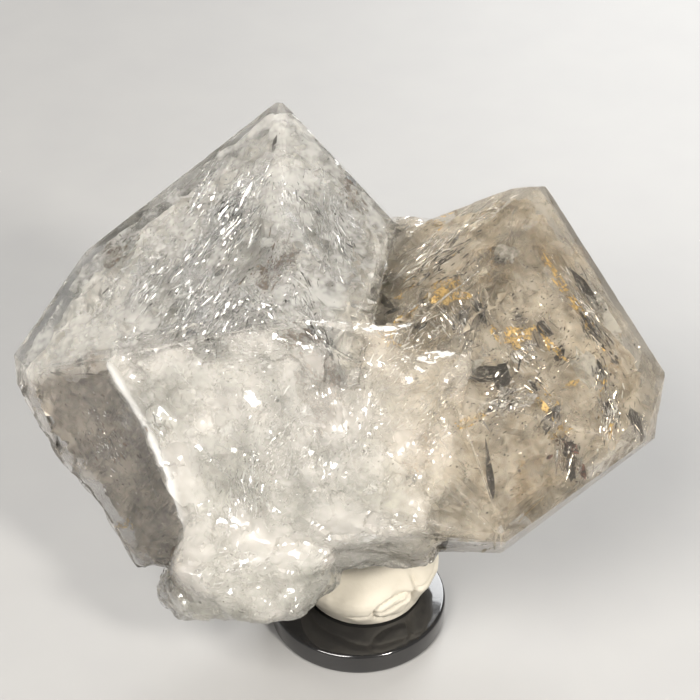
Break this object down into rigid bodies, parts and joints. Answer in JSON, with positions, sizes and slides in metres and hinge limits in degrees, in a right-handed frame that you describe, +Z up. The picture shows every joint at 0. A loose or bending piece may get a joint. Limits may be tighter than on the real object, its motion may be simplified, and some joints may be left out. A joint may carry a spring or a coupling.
{
  "type": "herkimer diamond quartz specimen",
  "caption": "Two clear double-pointed quartz crystals grown together, with a broken milky foot, held upright by a putty pad on a low black disc.",
  "frame": {"origin": "middle of the disc's flat underside, which stands on the table", "axes": "+X to the right in the picture, +Y away from the viewer, +Z up; the crystals' faces are shown toward -Y and up"},
  "size_m": [0.0758, 0.0494, 0.0597],
  "materials": {
    "crystal_cluster": "clear quartz, silky inside, rough where broken",
    "putty_pad": "matt cream mineral putty with thumb folds",
    "stand_disc": "polished black"
  },
  "bodies": {
    "root": {"crystal_cluster": "crystal_cluster", "putty_pad": "putty_pad", "stand_disc": "stand_disc"}
  },
  "joints": []
}
